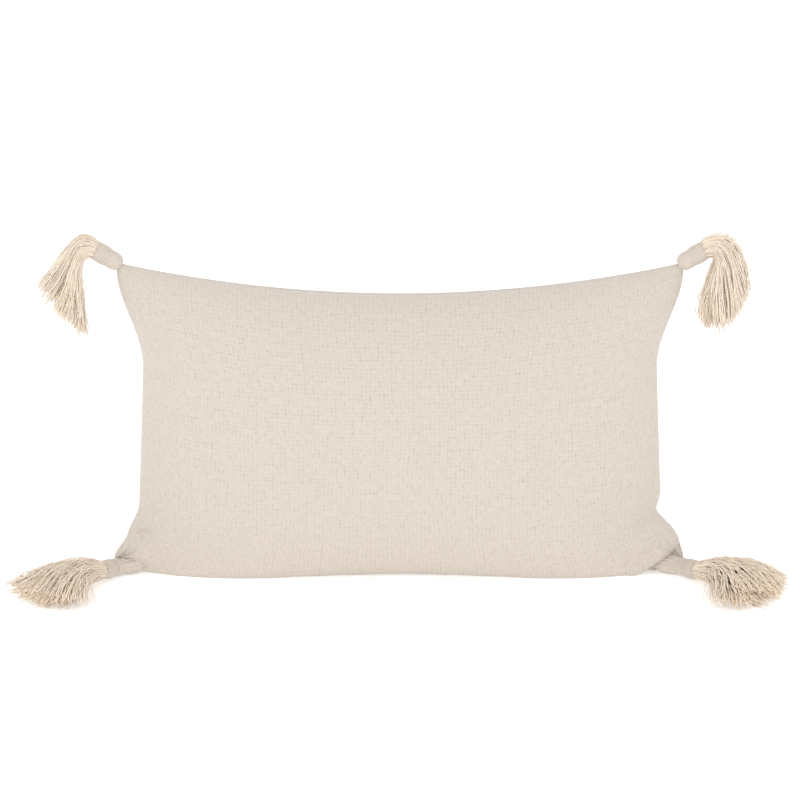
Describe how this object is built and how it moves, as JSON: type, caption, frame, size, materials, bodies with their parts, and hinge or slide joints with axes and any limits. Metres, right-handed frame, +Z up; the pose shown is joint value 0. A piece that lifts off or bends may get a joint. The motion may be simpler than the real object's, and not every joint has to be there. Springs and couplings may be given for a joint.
{
  "type": "throw pillow",
  "caption": "Oblong filled throw pillow with a coarse cream woven cover, a hidden bottom zipper and a soft yarn tassel hinged at each corner.",
  "frame": {"origin": "centre of the bounding box's base, on the floor that the pillow stands on", "axes": "+X along the pillow's length, to the right when it is seen from the front; +Y to the back; +Z up. The pillow stands on its long bottom edge with its front facing -Y."},
  "size_m": [0.8338, 0.1948, 0.3754],
  "materials": {
    "cover_cloth": "matte coarse plain weave, natural undyed cotton",
    "insert_cloth": "matte fine plain weave",
    "polyester_fill": "matte fluffy fibre",
    "tassel_yarn": "matte soft cotton yarn",
    "binding_yarn": "matte twisted cotton yarn",
    "zip_tape": "matte fine knitted tape",
    "zip_teeth": "satin moulded nylon",
    "zip_metal": "brushed zinc alloy",
    "label": "smooth satin ribbon, blank"
  },
  "bodies": {
    "pillow": {"cover_front": "cover_cloth", "cover_back": "cover_cloth", "insert_front": "insert_cloth", "insert_back": "insert_cloth", "insert_fill": "polyester_fill", "zip_tape_front": "zip_tape", "zip_tape_back": "zip_tape", "zip_teeth_front": "zip_teeth", "zip_teeth_back": "zip_teeth", "zip_stop_open_end": "zip_metal", "zip_stop_closed_end": "zip_metal", "care_label": "label"},
    "zip_slider": {"zip_slider": "zip_metal"},
    "zip_pull": {"zip_pull": "zip_metal"},
    "tassel_top_left_loop": {"tassel_top_left_loop": "binding_yarn"},
    "tassel_top_left": {"tassel_top_left_head": "tassel_yarn", "tassel_top_left_wrap": "binding_yarn", "tassel_top_left_skirt": "tassel_yarn"},
    "tassel_bottom_left_loop": {"tassel_bottom_left_loop": "binding_yarn"},
    "tassel_bottom_left": {"tassel_bottom_left_head": "tassel_yarn", "tassel_bottom_left_wrap": "binding_yarn", "tassel_bottom_left_skirt": "tassel_yarn"},
    "tassel_top_right_loop": {"tassel_top_right_loop": "binding_yarn"},
    "tassel_top_right": {"tassel_top_right_head": "tassel_yarn", "tassel_top_right_wrap": "binding_yarn", "tassel_top_right_skirt": "tassel_yarn"},
    "tassel_bottom_right_loop": {"tassel_bottom_right_loop": "binding_yarn"},
    "tassel_bottom_right": {"tassel_bottom_right_head": "tassel_yarn", "tassel_bottom_right_wrap": "binding_yarn", "tassel_bottom_right_skirt": "tassel_yarn"}
  },
  "joints": [
    {"name": "zip_slide", "type": "slide", "parent": "pillow", "child": "zip_slider", "axis": [1, 0, 0], "range_m": [-0.378, 0]},
    {"name": "zip_pull_flip", "type": "hinge", "parent": "zip_slider", "child": "zip_pull", "pos_m": [0.1901, 0.02087, 0.00182], "axis": [0, -1, 0], "range_deg": [0, 150]},
    {"name": "tassel_top_left_swing", "type": "hinge", "parent": "pillow", "child": "tassel_top_left_loop", "pos_m": [-0.29589, 0.02087, 0.3408], "axis": [0, 1, 0], "range_deg": [-15, 90]},
    {"name": "tassel_top_left_flap", "type": "hinge", "parent": "tassel_top_left_loop", "child": "tassel_top_left", "pos_m": [-0.29589, 0.02087, 0.3408], "axis": [1, 0, 0], "range_deg": [-45, 45]},
    {"name": "tassel_bottom_left_sweep", "type": "hinge", "parent": "pillow", "child": "tassel_bottom_left_loop", "pos_m": [-0.30217, -0.00421, 0.01041], "axis": [0, 0, 1], "range_deg": [-35, 35]},
    {"name": "tassel_bottom_left_lift", "type": "hinge", "parent": "tassel_bottom_left_loop", "child": "tassel_bottom_left", "pos_m": [-0.30217, -0.00421, 0.01041], "axis": [-0.7649, 0.6441, 0], "range_deg": [-75, 45]},
    {"name": "tassel_top_right_swing", "type": "hinge", "parent": "pillow", "child": "tassel_top_right_loop", "pos_m": [0.29589, 0.02087, 0.3408], "axis": [0, -1, 0], "range_deg": [-15, 90]},
    {"name": "tassel_top_right_flap", "type": "hinge", "parent": "tassel_top_right_loop", "child": "tassel_top_right", "pos_m": [0.29589, 0.02087, 0.3408], "axis": [1, 0, 0], "range_deg": [-45, 45]},
    {"name": "tassel_bottom_right_sweep", "type": "hinge", "parent": "pillow", "child": "tassel_bottom_right_loop", "pos_m": [0.30217, -0.00421, 0.01041], "axis": [0, 0, -1], "range_deg": [-35, 35]},
    {"name": "tassel_bottom_right_lift", "type": "hinge", "parent": "tassel_bottom_right_loop", "child": "tassel_bottom_right", "pos_m": [0.30217, -0.00421, 0.01041], "axis": [-0.7649, -0.6441, 0], "range_deg": [-75, 45]}
  ]
}
